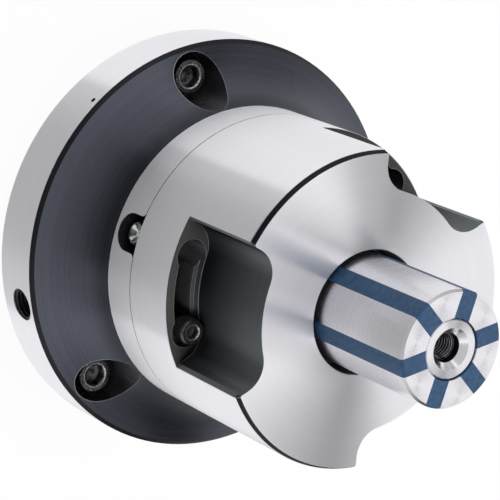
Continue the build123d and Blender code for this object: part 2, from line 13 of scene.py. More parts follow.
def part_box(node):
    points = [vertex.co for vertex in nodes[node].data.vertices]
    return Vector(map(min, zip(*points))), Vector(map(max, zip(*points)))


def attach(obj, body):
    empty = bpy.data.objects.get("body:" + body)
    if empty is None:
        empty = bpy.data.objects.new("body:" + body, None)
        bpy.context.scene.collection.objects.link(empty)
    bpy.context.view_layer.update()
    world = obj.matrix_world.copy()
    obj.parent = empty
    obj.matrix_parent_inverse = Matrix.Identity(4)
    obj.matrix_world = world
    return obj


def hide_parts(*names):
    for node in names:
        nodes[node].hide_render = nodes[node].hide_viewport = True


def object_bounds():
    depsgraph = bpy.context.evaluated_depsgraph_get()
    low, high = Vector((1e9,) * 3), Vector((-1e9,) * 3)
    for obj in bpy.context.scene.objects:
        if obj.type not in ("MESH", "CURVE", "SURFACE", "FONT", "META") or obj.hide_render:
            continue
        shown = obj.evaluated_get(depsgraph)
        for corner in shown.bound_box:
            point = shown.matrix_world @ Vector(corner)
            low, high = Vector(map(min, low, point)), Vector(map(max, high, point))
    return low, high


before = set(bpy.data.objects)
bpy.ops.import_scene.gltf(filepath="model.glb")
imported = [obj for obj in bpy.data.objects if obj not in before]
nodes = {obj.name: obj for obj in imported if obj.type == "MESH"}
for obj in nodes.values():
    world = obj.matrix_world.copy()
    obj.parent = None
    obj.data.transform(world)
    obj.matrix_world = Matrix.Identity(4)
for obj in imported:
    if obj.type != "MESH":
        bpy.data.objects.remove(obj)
cad_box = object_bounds()
MM = 0.001
HAIR = 0.05 * MM  # how far the limit of a zone keeps from the face that it parts
print("nodes in the frame:", len(nodes))

# %% [markdown]
# The photograph looks at the nose from one side with a long lens. The axis of the mandrel leans away
# from the line of sight, and the picture is rolled so that the nose points down to the right. A camera
# is easiest to place by those two turns, about its own X and then about its line of sight.

# %% Camera
VIEW_TILT = 36.88
VIEW_ROLL = 66.63
CAMERA_PLACE = Vector((5.1, 743.3, 1049.4)) * MM
LENS = 180.5


def add_camera():
    data = bpy.data.cameras.new("camera")
    data.lens = LENS
    data.sensor_width = 36.0
    data.clip_start = 0.05
    data.clip_end = 50.0
    camera = bpy.data.objects.new("camera", data)
    bpy.context.scene.collection.objects.link(camera)
    turn = Matrix.Rotation(radians(-VIEW_TILT), 4, "X") @ Matrix.Rotation(radians(-VIEW_ROLL), 4, "Z")
    camera.matrix_world = Matrix.Translation(CAMERA_PLACE) @ turn
    bpy.context.scene.camera = camera
    return camera


camera = add_camera()
print("camera at", [round(v, 3) for v in camera.location], "lens", LENS)

# %% [markdown]
# Node trees are built with small helpers. One adds a node and sets its values, others write a formula,
# a ramp, a noise or a blend, and two open and place a group with named sockets.

# %% Helpers for node trees
NOISE_RANGE = (0.3, 0.7)


def add_node(tree, kind, inputs=None, **settings):
    """A node of that kind, with settings on the node and values or links on its inputs."""
    node = tree.nodes.new(kind)
    for name, value in settings.items():
        setattr(node, name, value)
    for name, value in (inputs or {}).items():
        socket = node.inputs[name]
        if isinstance(value, bpy.types.NodeSocket):
            tree.links.new(value, socket)
        else:
            socket.default_value = value
    return node


def calc(tree, operation, *values):
    """The result of one Math node."""
    return add_node(tree, "ShaderNodeMath", dict(enumerate(values)), operation=operation).outputs[0]


def times(tree, first, second):
    return calc(tree, "MULTIPLY", first, second)


def diagonal(tree, first, second):
    """The length across two lengths at right angles."""
    return calc(tree, "SQRT", calc(tree, "MULTIPLY_ADD", first, first, times(tree, second, second)))


def dot(tree, first, second):
    """How far one direction leans along another."""
    node = add_node(tree, "ShaderNodeVectorMath", {0: first, 1: second}, operation="DOT_PRODUCT")
    return node.outputs["Value"]


def ramp(tree, value, low, high, start=0.0, end=1.0):
    """Runs from start to end, smoothly, as value goes from low to high."""
    inputs = {"Value": value, "From Min": low, "From Max": high, "To Min": start, "To Max": end}
    return add_node(tree, "ShaderNodeMapRange", inputs, interpolation_type="SMOOTHSTEP").outputs[0]


def noise(tree, point, scale, detail):
    inputs = {"Vector": point, "Scale": scale, "Detail": detail}
    return add_node(tree, "ShaderNodeTexNoise", inputs).outputs[0]


def spread(tree, value, start=0.0, end=1.0):
    """Runs from start to end over the range that a noise mostly keeps to."""
    return ramp(tree, value, *NOISE_RANGE, start, end)


def blend_value(tree, factor, first, second):
    """A number between two, by a factor."""
    return add_node(tree, "ShaderNodeMix", {0: factor, 2: first, 3: second}).outputs[0]


def blend_colour(tree, factor, first, second):
    """A colour between two, by a factor."""
    inputs = {0: factor, 6: first, 7: second}
    return add_node(tree, "ShaderNodeMix", inputs, data_type="RGBA").outputs[2]


def paint(tree, colour, *coats):
    """Lays one coat after another over a colour. Each coat is a factor and its own colour."""
    for factor, coat in coats:
        colour = blend_colour(tree, factor, colour, coat)
    return colour


def new_group(name, inputs, outputs):
    """An empty node group with float outputs. An input without a default is a vector."""
    group = bpy.data.node_groups.new(name, "ShaderNodeTree")
    for label, value in inputs.items():
        kind = "NodeSocketVector" if value is None else "NodeSocketFloat"
        socket = group.interface.new_socket(label, in_out="INPUT", socket_type=kind)
        if value is not None:
            socket.default_value = value
    for label in outputs:
        group.interface.new_socket(label, in_out="OUTPUT", socket_type="NodeSocketFloat")
    return group, group.nodes.new("NodeGroupInput").outputs, group.nodes.new("NodeGroupOutput").inputs


def use_group(tree, group, **inputs):
    """Places a group in a tree and returns its outputs."""
    return add_node(tree, "ShaderNodeGroup", inputs, node_tree=group).outputs


def grey(value):
    return (value, value, value, 1.0)


# %% [markdown]
# Nearly everything here was made on a lathe, so nearly every pattern runs round the axis. One group
# turns a point into its radius, its height and its direction from the axis. The direction is kept as a
# cosine and a sine, because an angle would jump from one side of the turn to the other and leave a
# seam.

# %% Group: place round the axis
LEAST_RADIUS = 0.1 * MM  # so that nothing is divided by nought on the axis


def make_axis_group():
    group, given, result = new_group(
        "place round the axis", {"Point": None}, ["Radius", "Height", "Cosine", "Sine"]
    )
    parts = add_node(group, "ShaderNodeSeparateXYZ", {0: given["Point"]}).outputs
    radius = calc(group, "MAXIMUM", diagonal(group, parts["X"], parts["Y"]), LEAST_RADIUS)
    group.links.new(radius, result["Radius"])
    group.links.new(parts["Z"], result["Height"])
    group.links.new(calc(group, "DIVIDE", parts["X"], radius), result["Cosine"])
    group.links.new(calc(group, "DIVIDE", parts["Y"], radius), result["Sine"])
    return group


AXIS = make_axis_group()
print("made", AXIS.name)

# %% [markdown]
# A turning tool leaves fine rings. They are noise that changes quickly along the radius and the height
# and slowly round the turn. The fourth dimension of the noise takes the sine, so the rings close.

# %% Group: turning rings
RING_SCALE = 1.0
BAND_SCALE = 0.11


def make_rings_group():
    group, given, result = new_group(
        "turning rings",
        {"Radius": 0.0, "Height": 0.0, "Cosine": 0.0, "Sine": 0.0, "Pitch": 0.0004, "Wander": 0.12},
        ["Rings", "Bands"],
    )
    across = {
        "X": calc(group, "DIVIDE", given["Radius"], given["Pitch"]),
        "Y": calc(group, "DIVIDE", given["Height"], given["Pitch"]),
        "Z": times(group, given["Cosine"], given["Wander"]),
    }
    point = add_node(group, "ShaderNodeCombineXYZ", across).outputs[0]
    inputs = {"Vector": point, "W": times(group, given["Sine"], given["Wander"]), "Detail": 2.0}
    fine, broad = (
        add_node(group, "ShaderNodeTexNoise", {**inputs, "Scale": scale}, noise_dimensions="4D")
        for scale in (RING_SCALE, BAND_SCALE)
    )
    group.links.new(fine.outputs[0], result["Rings"])
    group.links.new(broad.outputs[0], result["Bands"])
    return group


RINGS = make_rings_group()
print("made", RINGS.name)

# %% [markdown]
# The screws and their wells come in threes round the axis. One group gives the distance from the
# nearest of three upright axes, for a ring of a given radius that starts at a given turn.

# %% Group: nearest of three screws


def make_screws_group():
    group, given, result = new_group(
        "nearest of three screws", {"Point": None, "Ring": 0.09, "Turn": 0.0}, ["Distance"]
    )
    place = add_node(group, "ShaderNodeSeparateXYZ", {0: given["Point"]}).outputs
    nearest = 1.0
    for k in range(3):
        turn = calc(group, "ADD", given["Turn"], radians(120.0 * k))
        screw_x = times(group, given["Ring"], calc(group, "COSINE", turn))
        screw_y = times(group, given["Ring"], calc(group, "SINE", turn))
        aside = calc(group, "SUBTRACT", place["X"], screw_x)
        along = calc(group, "SUBTRACT", place["Y"], screw_y)
        nearest = calc(group, "MINIMUM", diagonal(group, aside, along), nearest)
    group.links.new(nearest, result["Distance"])
    return group


SCREWS = make_screws_group()
print("made", SCREWS.name)

# %% [markdown]
# Blackened steel wears bright where it is handled: at the sharp corners. A Bevel node rounds the
# normal near a corner, and the more it differs from the true normal, the nearer the corner is.

# %% Group: worn corners
WORN_MATCH = (0.995, 0.86)
WORN_PATCHES = (0.35, 0.6)
WORN_SCALE = 700.0


def make_wear_group():
    group, given, result = new_group(
        "worn corners", {"Width": 0.6 * MM, "Point": None, "Patchiness": 0.5}, ["Wear"]
    )
    rounded = add_node(group, "ShaderNodeBevel", {"Radius": given["Width"]}, samples=6).outputs[0]
    true = add_node(group, "ShaderNodeNewGeometry").outputs["Normal"]
    corner = ramp(group, dot(group, rounded, true), *WORN_MATCH)
    kept = ramp(group, noise(group, given["Point"], WORN_SCALE, 3.0), *WORN_PATCHES)
    rest = calc(group, "SUBTRACT", 1.0, given["Patchiness"])
    patchy = calc(group, "MULTIPLY_ADD", kept, given["Patchiness"], rest)
    group.links.new(times(group, corner, patchy), result["Wear"])
    return group


WEAR = make_wear_group()
print("made", WEAR.name)

# %% [markdown]
# Each finish starts the same way: an empty material, a Principled shader, and the point of the surface
# in the object's own space.

# %% Start of a finish


def start_finish(name):
    """A material with one Principled shader. Returns it with its tree, shader and surface point."""
    material = bpy.data.materials.new(name)
    material.use_nodes = True
    tree = material.node_tree
    tree.nodes.clear()
    shader = tree.nodes.new("ShaderNodeBsdfPrincipled")
    output = tree.nodes.new("ShaderNodeOutputMaterial")
    tree.links.new(shader.outputs[0], output.inputs["Surface"])
    point = add_node(tree, "ShaderNodeTexCoord").outputs["Object"]
    return material, tree, shader, point


def set_constant(shader, **values):
    for name, value in values.items():
        shader.inputs[name.replace("_", " ")].default_value = value


def raise_bump(tree, shader, height, distance):
    bump = add_node(tree, "ShaderNodeBump", {"Height": height, "Distance": distance, "Strength": 1.0})
    tree.links.new(bump.outputs[0], shader.inputs["Normal"])


def comb_round_axis(tree, shader, amount):
    """Highlights run across the turning lines, as on any turned surface."""
    tangent = add_node(tree, "ShaderNodeTangent", direction_type="RADIAL", axis="Z")
    tree.links.new(tangent.outputs[0], shader.inputs["Tangent"])
    set_constant(shader, Anisotropic=amount, Anisotropic_Rotation=0.25)


# %% [markdown]
# Bright turned steel. The shader is plain metal, lighter than real steel, because the photograph shows
# steel nearly white. It varies a little from ring to ring, and its highlights are combed across the
# rings. The bush is ground, so its sides are less combed, and only its front is turned. The sides'
# colour is darker than the front's: partly the duller grind, partly painted shade.

# %% Finish: bright turned steel
STEEL = 0.93
STEEL_TINT = (1.0, 0.995, 1.04)
STEEL_ROUGHNESS = 0.31
RING_PITCH = 0.42 * MM
RING_DEPTH = 0.0005 * MM
RING_TONES = (0.985, 1.01)
BUSH_PITCH = 0.3 * MM
BUSH_DEPTH = 0.0002 * MM
BUSH_ROUGHNESS = 0.27
BUSH_COMB = 0.5
# Partly the duller grind, partly painted shade: the darker tone of the bush's sides.
BUSH_SIDE_SHADE = 0.78
BUSH_FACE = 0.92
BUSH_FRONT = 224.0 * MM


def ring_pattern(tree, point, pitch=RING_PITCH):
    """The place round the axis, and the turning rings there."""
    axis = use_group(tree, AXIS, Point=point)
    place = {name: axis[name] for name in ("Radius", "Height", "Cosine", "Sine")}
    return axis, use_group(tree, RINGS, Pitch=pitch, **place)


def steel_colour(tree, rings, tone=STEEL):
    """Steel whose brightness follows the rings and the broader bands between them."""
    fine = spread(tree, rings["Rings"], *RING_TONES)
    broad = spread(tree, rings["Bands"], *RING_TONES)
    level = times(tree, times(tree, fine, broad), tone)
    channels = {k: times(tree, level, share) for k, share in enumerate(STEEL_TINT)}
    return add_node(tree, "ShaderNodeCombineColor", channels).outputs[0]


def ring_roughness(tree, rings, roughness, less=0.012, more=0.018):
    """A roughness that varies a little from ring to ring."""
    return spread(tree, rings["Rings"], roughness - less, roughness + more)


def turned_steel(name, pitch, depth, roughness, comb, tone, front_tone=None):
    """Steel with turning rings. With a front tone given, the front of the bush takes it."""
    material, tree, shader, point = start_finish(name)
    axis, rings = ring_pattern(tree, point, pitch)
    if front_tone:
        tone = ramp(tree, axis["Height"], BUSH_FRONT - 3 * HAIR, BUSH_FRONT - HAIR, tone, front_tone)
    tree.links.new(steel_colour(tree, rings, tone), shader.inputs["Base Color"])
    tree.links.new(ring_roughness(tree, rings, roughness), shader.inputs["Roughness"])
    raise_bump(tree, shader, rings["Rings"], depth)
    comb_round_axis(tree, shader, comb)
    set_constant(shader, Metallic=1.0)
    return material


bright_steel = turned_steel(
    "bright turned steel", RING_PITCH, RING_DEPTH, STEEL_ROUGHNESS, comb=1.0, tone=STEEL
)
# The bush's sides take a darker tone than its front, partly painted shade.
bush_steel = turned_steel(
    "ground bush steel", BUSH_PITCH, BUSH_DEPTH, BUSH_ROUGHNESS,
    comb=BUSH_COMB, tone=BUSH_SIDE_SHADE, front_tone=BUSH_FACE,
)
print("made", bright_steel.name, "and", bush_steel.name)

# %% [markdown]
# The flange and the body carry two finishes each. They were blackened all over and then turned bright
# outside, so the cove, the counterbores and the pockets stayed black. The border is a place, not a
# picture: it is worked out from the radius, the height and the turn.

# %% Places on the flange, the body and the nose
RIM_TOP = 28.0 * MM
RIM_RADIUS = 105.0 * MM
RIM_CHAMFER = 2.0 * MM
HUB_START = 55.0 * MM
COVE_INNER = 60.0 * MM
COVE_SHADE = (76.5 * MM, 84.0 * MM)
JOINT_HEIGHT = 75.0 * MM
JOINT_LINE = 0.3 * MM
JOINT_INNER = 50.0 * MM
BODY_RADIUS = 76.5 * MM
BODY_FRONT = 160.5 * MM
BODY_CHAMFER = 3.2 * MM
FRONT_EDGE_RUN = 1.6 * MM
BORE_RADIUS = 30.0 * MM
BORE_BOTTOM = 140.0 * MM
POCKET_INNER = 45.0 * MM
POCKET_LEDGE = 107.3 * MM
LEDGE_MARGIN = 4 * HAIR
POCKET_EDGE = 2.4 * MM
WALL_SHADE = (112.0 * MM, 162.0 * MM)
NOSE_BORE_RADIUS = 6.9 * MM
NOSE_BORE_MOUTH = 220.4 * MM
NOSE_SINK_RADIUS = 9.82 * MM
CREST_SHADE = (5.0 * MM, 5.4 * MM)
FLANGE_SCREW_RING = 89.4 * MM
FLANGE_SCREW_TURN = radians(36.9)
COUNTERBORE_RADIUS = 12.75 * MM
HOLE_FLOOR = 55.0 * MM
LIFTING_TURN = radians(127.2)
LIFTING_HEIGHT = 17.6 * MM
LIFTING_RADIUS = 8.8 * MM
PIN_TURN = radians(66.7)
PIN_HEIGHT = 23.8 * MM
PIN_RADIUS = 1.5 * MM
NOTCH_TURN = radians(97.3)
NOTCH_HALF_WIDTH = 14.0 * MM
NOTCH_HEIGHTS = (55.2 * MM, 75.1 * MM)

# %% [markdown]
# A zone is a number that is one inside a place and nought outside. Zones are built from limits on the
# radius and the height, and from the distance to a plane through the axis.

# %% Zones


def over(tree, value, limit):
    return calc(tree, "GREATER_THAN", value, limit)


def under(tree, value, limit):
    return calc(tree, "LESS_THAN", value, limit)


def between(tree, value, low, high):
    """One where value lies between low and high, and nought elsewhere."""
    return times(tree, over(tree, value, low), under(tree, value, high))


def all_of(tree, *zones):
    """One where all the zones are one."""
    total = zones[0]
    for zone in zones[1:]:
        total = times(tree, total, zone)
    return total


def any_of(tree, *zones):
    """One where any of the zones is one."""
    total = zones[0]
    for zone in zones[1:]:
        total = calc(tree, "MAXIMUM", total, zone)
    return total


def aside_from(tree, axis, turn):
    """How far a point lies to the side of a plane through the axis at that turn."""
    across = times(tree, axis["Cosine"], -sin(turn))
    across = calc(tree, "MULTIPLY_ADD", axis["Sine"], cos(turn), across)
    return times(tree, across, axis["Radius"])


def ahead_of_axis(tree, axis, turn):
    """One on the side of the axis that faces that turn."""
    facing = times(tree, axis["Cosine"], cos(turn))
    return over(tree, calc(tree, "MULTIPLY_ADD", axis["Sine"], sin(turn), facing), 0.0)


def inward_hole(tree, axis, turn, height, hole_radius):
    """One inside a hole of the rim that runs straight towards the axis."""
    side = aside_from(tree, axis, turn)
    rise = calc(tree, "SUBTRACT", axis["Height"], height)
    return all_of(
        tree,
        under(tree, diagonal(tree, side, rise), hole_radius),
        ahead_of_axis(tree, axis, turn),
        between(tree, axis["Radius"], HOLE_FLOOR, RIM_RADIUS - 4 * HAIR),
    )


# %% [markdown]
# The black isn't one black. It is bluish satin in the cove, darker on the rim's chamfer, and darkened
# towards the hub by painted shade. In the pockets painted shade darkens it deep down, so it is lighter
# towards their mouth, and it is rubbed grey on their ledges and edges, where the edges also carry a
# painted highlight. Painted shade makes the joint, the notch, the rim's holes and the nose's bore near
# black, painted glints light the nose's thread crests, and painted light lifts the body's slots and
# bore.

# %% The black of the flange, the body and the nose
# Painted shade: the cove's black is darker by the hub.
COVE_SHADE_BY_HUB = (0.046, 0.049, 0.060, 1.0)
COVE_BLACK = (0.098, 0.104, 0.130, 1.0)
RIM_EDGE_BLACK = (0.030, 0.030, 0.036, 1.0)
WELL_BLACK = (0.120, 0.114, 0.130, 1.0)
# Painted shade: near black inside the joint, the notch and the rim's holes.
HOLE_SHADE_BLACK = (0.034, 0.033, 0.038, 1.0)
# Painted shade: the pocket wall deep down. It grows lighter towards the mouth.
WALL_DEEP_SHADE = (0.036, 0.041, 0.044, 1.0)
WALL_FRONT = (0.135, 0.150, 0.158, 1.0)
LEDGE_GREY = (0.145, 0.145, 0.142, 1.0)
# Rubbed grey with a painted highlight along the pockets' outer edges.
POCKET_EDGE_WEAR_AND_HIGHLIGHT = (0.210, 0.215, 0.220, 1.0)
# Painted light: the slots and the bore are lifted above the pocket's black, against their shade.
SLOT_PAINTED_LIGHT = (0.170, 0.175, 0.186, 1.0)
FRONT_EDGE_BLACK = (0.026, 0.027, 0.031, 1.0)
# Painted shade in the nose's bore, and painted glints on the thread's crests.
THREAD_SHADE_BLACK = (0.020, 0.020, 0.022, 1.0)
CREST_GLINT_GREY = (0.200, 0.200, 0.205, 1.0)


def flange_black(tree, point, axis):
    """The zone of the cove, the wells, the joint, the notch and the rim's holes, and its colour."""
    height, radius = axis["Height"], axis["Radius"]
    cove = between(tree, height, RIM_TOP + HAIR, HUB_START - HAIR)
    cove = all_of(tree, cove, over(tree, radius, COVE_INNER))
    screws = use_group(tree, SCREWS, Point=point, Ring=FLANGE_SCREW_RING, Turn=FLANGE_SCREW_TURN)
    well = under(tree, screws["Distance"], COUNTERBORE_RADIUS + HAIR)
    well = all_of(tree, well, over(tree, height, HAIR))
    joint = between(tree, height, JOINT_HEIGHT - JOINT_LINE, JOINT_HEIGHT + HAIR)
    joint = all_of(tree, joint, over(tree, radius, JOINT_INNER))
    notch = all_of(
        tree,
        under(tree, calc(tree, "ABSOLUTE", aside_from(tree, axis, NOTCH_TURN)), NOTCH_HALF_WIDTH),
        ahead_of_axis(tree, axis, NOTCH_TURN),
        between(tree, radius, HOLE_FLOOR, BODY_RADIUS - 4 * HAIR),
        between(tree, height, *NOTCH_HEIGHTS),
    )
    lifting = inward_hole(tree, axis, LIFTING_TURN, LIFTING_HEIGHT, LIFTING_RADIUS)
    pin = inward_hole(tree, axis, PIN_TURN, PIN_HEIGHT, PIN_RADIUS)
    # Painted shade: the joint face, the notch and the rim's holes are painted near black, for the shade
    # inside them.
    hole = any_of(tree, joint, notch, lifting, pin)
    rim_edge = all_of(tree, cove, over(tree, radius, RIM_RADIUS - RIM_CHAMFER - HAIR))
    # Painted shade: the cove's colour darkens towards the hub.
    satin = blend_colour(tree, ramp(tree, radius, *COVE_SHADE), COVE_SHADE_BY_HUB, COVE_BLACK)
    colour = paint(tree, satin, (rim_edge, RIM_EDGE_BLACK), (well, WELL_BLACK), (hole, HOLE_SHADE_BLACK))
    return any_of(tree, cove, well, hole), colour


def body_black(tree, point, axis):
    """The zone of the pockets with their slots, the front chamfer and the bore, and its colour."""
    height, radius = axis["Height"], axis["Radius"]
    pocket = all_of(
        tree,
        between(tree, height, JOINT_HEIGHT + JOINT_LINE, BODY_FRONT - HAIR),
        between(tree, radius, POCKET_INNER, BODY_RADIUS - 5 * HAIR),
    )
    joint = under(tree, height, JOINT_HEIGHT + JOINT_LINE)
    bore = all_of(
        tree,
        between(tree, radius, BORE_RADIUS - HAIR, BORE_RADIUS + HAIR),
        between(tree, height, BORE_BOTTOM, BODY_FRONT - 6 * HAIR),
    )
    slot = under(tree, height, POCKET_LEDGE - LEDGE_MARGIN)
    ledge = between(tree, height, POCKET_LEDGE - LEDGE_MARGIN, POCKET_LEDGE + LEDGE_MARGIN)
    # Rubbed grey and painted highlight: a band along the outer edge of each pocket's sides.
    side_edge_wear_and_highlight = all_of(
        tree,
        over(tree, radius, BODY_RADIUS - POCKET_EDGE + HAIR),
        between(tree, height, POCKET_LEDGE + LEDGE_MARGIN, BODY_FRONT - BODY_CHAMFER),
    )
    front_edge = all_of(
        tree,
        over(tree, height, BODY_FRONT - BODY_CHAMFER),
        over(tree, radius, BODY_RADIUS - FRONT_EDGE_RUN),
    )
    # Painted shade: the pocket wall and the body's joint face darken with depth.
    wall = blend_colour(tree, ramp(tree, height, *WALL_SHADE), WALL_DEEP_SHADE, WALL_FRONT)
    # Painted light lifts the slots and the bore above the pocket's black.
    colour = paint(
        tree, wall, (ledge, LEDGE_GREY), (side_edge_wear_and_highlight, POCKET_EDGE_WEAR_AND_HIGHLIGHT),
        (any_of(tree, slot, bore), SLOT_PAINTED_LIGHT), (front_edge, FRONT_EDGE_BLACK),
    )
    return any_of(tree, pocket, joint, bore), colour


def nose_shade_and_glints(tree, point, axis):
    """The nose's bore and its thread, painted dark as their shade, with painted glints on the crests.
    """
    inside = under(tree, axis["Radius"], NOSE_BORE_RADIUS + HAIR)
    zone = all_of(tree, inside, under(tree, axis["Height"], NOSE_BORE_MOUTH))
    # Painted glints: the crests of the thread are painted lighter grey.
    crest = ramp(tree, axis["Radius"], *CREST_SHADE, 1.0, 0.0)
    return zone, blend_colour(tree, crest, THREAD_SHADE_BLACK, CREST_GLINT_GREY)


# %% [markdown]
# One finish takes such a zone and its colour. Outside the zone it is bright steel, inside it is black
# oxide with the grain of the rings, and the black is worn through at its sharp corners. In the nose's
# bore, the joint and the holes the dark is painted shade, and the nose's crests carry painted glints.

# %% Finish: bright steel with blackened places
FLANGE_BLACK_ROUGHNESS = 0.29
BODY_BLACK_ROUGHNESS = 0.40
NOSE_BLACK_ROUGHNESS = 0.35
POLISHED_ROUGHNESS = 0.12
BLACK_GRAIN = (0.85, 1.15)
BLACK_SPREAD = 0.03
BLACK_WORN_WIDTH = 0.6 * MM
WORN_STEEL = (0.60, 0.60, 0.62, 1.0)


def part_blackened(name, black_zone, black_roughness, polished_radius=0.0):
    """Turned steel, bright outside and black inside the zone, polished within a radius."""
    material, tree, shader, point = start_finish(name)
    axis, rings = ring_pattern(tree, point)
    zone, black = black_zone(tree, point, axis)
    grain = spread(tree, rings["Rings"], *BLACK_GRAIN)
    black = add_node(tree, "ShaderNodeVectorMath", {0: black, 3: grain}, operation="SCALE").outputs[0]
    wear = use_group(tree, WEAR, Point=point, Width=BLACK_WORN_WIDTH, Patchiness=0.25)["Wear"]
    black = blend_colour(tree, wear, black, WORN_STEEL)
    colour = blend_colour(tree, zone, steel_colour(tree, rings), black)
    tree.links.new(colour, shader.inputs["Base Color"])
    bright_rough = ring_roughness(tree, rings, STEEL_ROUGHNESS)
    if polished_radius:
        polished = under(tree, axis["Radius"], polished_radius)
        bright_rough = blend_value(tree, polished, bright_rough, POLISHED_ROUGHNESS)
    black_rough = ring_roughness(tree, rings, black_roughness, BLACK_SPREAD, BLACK_SPREAD)
    tree.links.new(blend_value(tree, zone, bright_rough, black_rough), shader.inputs["Roughness"])
    raise_bump(tree, shader, rings["Rings"], RING_DEPTH)
    comb_round_axis(tree, shader, 1.0)
    set_constant(shader, Metallic=1.0)
    return material


flange_finish = part_blackened("flange, bright with a black cove", flange_black, FLANGE_BLACK_ROUGHNESS)
body_finish = part_blackened("body, bright with black pockets", body_black, BODY_BLACK_ROUGHNESS)
nose_steel = part_blackened(
    "nose, bright with a dark thread", nose_shade_and_glints, NOSE_BLACK_ROUGHNESS, NOSE_SINK_RADIUS
)
print("made", [finish.name for finish in (flange_finish, body_finish, nose_steel)])

# %% [markdown]
# Black oxide on the screws is a thin skin over steel: nearly black and a little glossy. A wrench has
# rubbed it: the face is speckled, the socket is worn in patches and its mouth is a bright ring.

# %% Finish: black oxide screws
SCREW_BLACK = (0.020, 0.020, 0.022, 1.0)
RUBBED_BLACK = (0.110, 0.110, 0.113, 1.0)
FACE_BLACK = (0.070, 0.070, 0.073, 1.0)
SPECK_GREY = (0.34, 0.34, 0.35, 1.0)
SOCKET_GREY = (0.13, 0.13, 0.135, 1.0)
MOUTH_GREY = (0.78, 0.78, 0.80, 1.0)
CORNER_GREY = (0.50, 0.50, 0.50, 1.0)
CORNER_WEAR = 0.85
OXIDE_WORN_WIDTH = 0.4 * MM
OXIDE_ROUGHNESS = (0.28, 0.42)
PATCH_SCALE = 330.0
CLOUD_SCALE = 900.0
SPECK_SCALE = 1400.0
FLANGE_SCREW_TOP = 29.3 * MM
BODY_SCREW_TOP = 111.6 * MM
BODY_SCREW_RING = 65.3 * MM
BODY_SCREW_TURN = radians(128.6)
FLANGE_SOCKET_RADIUS = 6.0 * MM
BODY_SOCKET_RADIUS = 3.7 * MM


def rubbed_by_wrench(tree, point, colour, ring, turn, top, socket_radius):
    """Wear on the face, in the socket and round the mouth of the socket of the nearest screw."""
    height = use_group(tree, AXIS, Point=point)["Height"]
    distance = use_group(tree, SCREWS, Point=point, Ring=ring, Turn=turn)["Distance"]
    patches = noise(tree, point, PATCH_SCALE, 5.0)
    specks = noise(tree, point, SPECK_SCALE, 3.0)
    face = over(tree, height, top - 0.5 * MM)
    socket = all_of(tree, under(tree, distance, socket_radius), under(tree, height, top - 0.1 * MM))
    mouth = between(tree, distance, socket_radius - 0.4 * MM, socket_radius + 0.3 * MM)
    mouth = all_of(tree, mouth, over(tree, height, top - 0.8 * MM))
    return paint(
        tree, colour,
        (all_of(tree, face, ramp(tree, patches, 0.42, 0.62, 0.35, 1.0)), FACE_BLACK),
        (all_of(tree, face, ramp(tree, specks, 0.56, 0.68)), SPECK_GREY),
        (all_of(tree, socket, ramp(tree, patches, 0.40, 0.60)), SOCKET_GREY),
        (all_of(tree, mouth, ramp(tree, specks, 0.38, 0.58, 0.25, 1.0)), MOUTH_GREY),
    )


def black_oxide(name, skin=SCREW_BLACK, screws=None):
    """Black oxide. With a ring of screws given, their faces and sockets are rubbed."""
    material, tree, shader, point = start_finish(name)
    wear = use_group(tree, WEAR, Point=point, Width=OXIDE_WORN_WIDTH, Patchiness=0.6)["Wear"]
    cloud = noise(tree, point, CLOUD_SCALE, 3.0)
    colour = rubbed_by_wrench(tree, point, skin, *screws) if screws else skin
    colour = blend_colour(tree, times(tree, wear, CORNER_WEAR), colour, CORNER_GREY)
    tree.links.new(colour, shader.inputs["Base Color"])
    tree.links.new(spread(tree, cloud, *OXIDE_ROUGHNESS), shader.inputs["Roughness"])
    raise_bump(tree, shader, cloud, 0.01 * MM)
    set_constant(shader, Metallic=0.9)
    return material


screw_finish = black_oxide("black oxide")
flange_screw_finish = black_oxide(
    "black oxide, worn at the flange screws",
    screws=(FLANGE_SCREW_RING, FLANGE_SCREW_TURN, FLANGE_SCREW_TOP, FLANGE_SOCKET_RADIUS),
)
body_screw_finish = black_oxide(
    "black oxide, worn at the body screws",
    RUBBED_BLACK,
    screws=(BODY_SCREW_RING, BODY_SCREW_TURN, BODY_SCREW_TOP, BODY_SOCKET_RADIUS),
)
print("made", screw_finish.name, "in three forms")

# %% [markdown]
# The webs are blue rubber, moulded between the segments and ground flush with them. Rubber is not a
# metal: its colour lies under a weak, broad gloss, and the grinding leaves it slightly mottled.

# %% Finish: blue rubber
DEEP_BLUE = (0.018, 0.050, 0.112, 1.0)
PALE_BLUE = (0.027, 0.075, 0.155, 1.0)
MOTTLE_SCALE = 420.0
GRAIN_SCALE = 2600.0
RUBBER_ROUGHNESS = (0.42, 0.62)


def blue_rubber():
    material, tree, shader, point = start_finish("blue rubber")
    mottle = noise(tree, point, MOTTLE_SCALE, 6.0)
    grain = noise(tree, point, GRAIN_SCALE, 2.0)
    colour = blend_colour(tree, spread(tree, mottle), DEEP_BLUE, PALE_BLUE)
    tree.links.new(colour, shader.inputs["Base Color"])
    tree.links.new(spread(tree, grain, *RUBBER_ROUGHNESS), shader.inputs["Roughness"])
    raise_bump(tree, shader, grain, 0.02 * MM)
    set_constant(shader, Specular_IOR_Level=0.35)
    return material


rubber_finish = blue_rubber()
print("made", rubber_finish.name)

# %% [markdown]
# The nipple is bright zinc and the guide bush is bronze, both a little cloudy. The seals are black
# rubber, which takes the same clouds but is no metal.

# %% Finishes of the small parts


def cloudy(name, tone, roughness, more, scale, depth, metallic=1.0):
    """A finish whose colour and gloss change a little from place to place."""
    material, tree, shader, point = start_finish(name)
    cloud = noise(tree, point, scale, 4.0)
    darker = tuple(0.8 * v for v in tone)
    colour = blend_colour(tree, spread(tree, cloud), (*darker, 1.0), (*tone, 1.0))
    tree.links.new(colour, shader.inputs["Base Color"])
    tree.links.new(spread(tree, cloud, roughness, roughness + more), shader.inputs["Roughness"])
    raise_bump(tree, shader, cloud, depth)
    set_constant(shader, Metallic=metallic)
    return material


